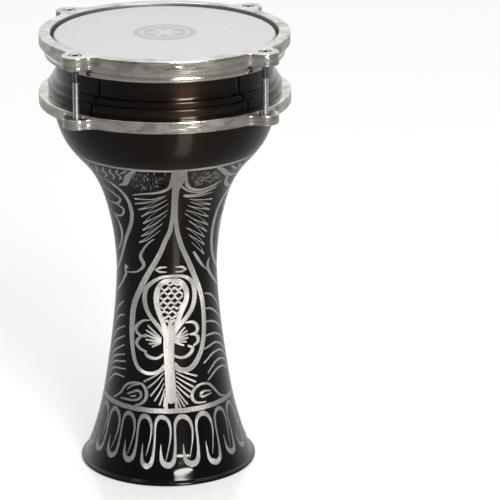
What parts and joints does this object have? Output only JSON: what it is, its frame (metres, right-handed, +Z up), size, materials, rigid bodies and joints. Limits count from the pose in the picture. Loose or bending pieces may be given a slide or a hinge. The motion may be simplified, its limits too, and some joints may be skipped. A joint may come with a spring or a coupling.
{
  "type": "goblet drum",
  "caption": "Goblet drum (darbuka): hollow spun shell, plastic head, two eared rings drawn together by socket-head tuning bolts.",
  "frame": {"origin": "centre of the foot's rim, on the surface the drum stands on", "axes": "+Z up along the drum's axis, from the foot to the head; -Y towards the front"},
  "size_m": [0.232, 0.232, 0.417],
  "materials": {
    "lacquered_aluminium": "gloss dark brown lacquer over spun aluminium, engraved through to bright metal",
    "drumhead_film": "satin white polyester film with a pale grey printed disc",
    "flesh_hoop_aluminium": "rolled bright aluminium",
    "resin": "dark cured resin",
    "plated_casting": "nickel-plated casting, lightly worn",
    "zinc_steel": "bright zinc plating"
  },
  "bodies": {
    "shell": {"goblet_shell": "lacquered_aluminium", "drumhead_film": "drumhead_film", "flesh_hoop": "flesh_hoop_aluminium", "hoop_resin": "resin", "lower_ring": "plated_casting"},
    "hoop": {"tension_hoop": "plated_casting", "washer_1": "zinc_steel", "washer_2": "zinc_steel", "washer_3": "zinc_steel", "washer_4": "zinc_steel"},
    "bolt_1": {"bolt_1": "zinc_steel"},
    "bolt_2": {"bolt_2": "zinc_steel"},
    "bolt_3": {"bolt_3": "zinc_steel"},
    "bolt_4": {"bolt_4": "zinc_steel"}
  },
  "joints": [
    {"name": "tension_hoop_slide", "type": "slide", "parent": "shell", "child": "hoop", "axis": [0, 0, 1], "range_m": [0, 0.005]},
    {"name": "bolt_1_turn", "type": "hinge", "parent": "hoop", "child": "bolt_1", "pos_m": [0.08921, -0.07921, 0.4108], "axis": [0, 0, 1], "range_deg": [0, 1800]},
    {"name": "bolt_2_turn", "type": "hinge", "parent": "hoop", "child": "bolt_2", "pos_m": [0.07921, 0.08921, 0.4108], "axis": [0, 0, 1], "range_deg": [0, 1800]},
    {"name": "bolt_3_turn", "type": "hinge", "parent": "hoop", "child": "bolt_3", "pos_m": [-0.08921, 0.07921, 0.4108], "axis": [0, 0, 1], "range_deg": [0, 1800]},
    {"name": "bolt_4_turn", "type": "hinge", "parent": "hoop", "child": "bolt_4", "pos_m": [-0.07921, -0.08921, 0.4108], "axis": [0, 0, 1], "range_deg": [0, 1800]}
  ],
  "couplings": [
    {"joint": "bolt_1_turn", "follows": "tension_hoop_slide", "rad_per_m": 6283.2},
    {"joint": "bolt_2_turn", "follows": "tension_hoop_slide", "rad_per_m": 6283.2},
    {"joint": "bolt_3_turn", "follows": "tension_hoop_slide", "rad_per_m": 6283.2},
    {"joint": "bolt_4_turn", "follows": "tension_hoop_slide", "rad_per_m": 6283.2}
  ]
}
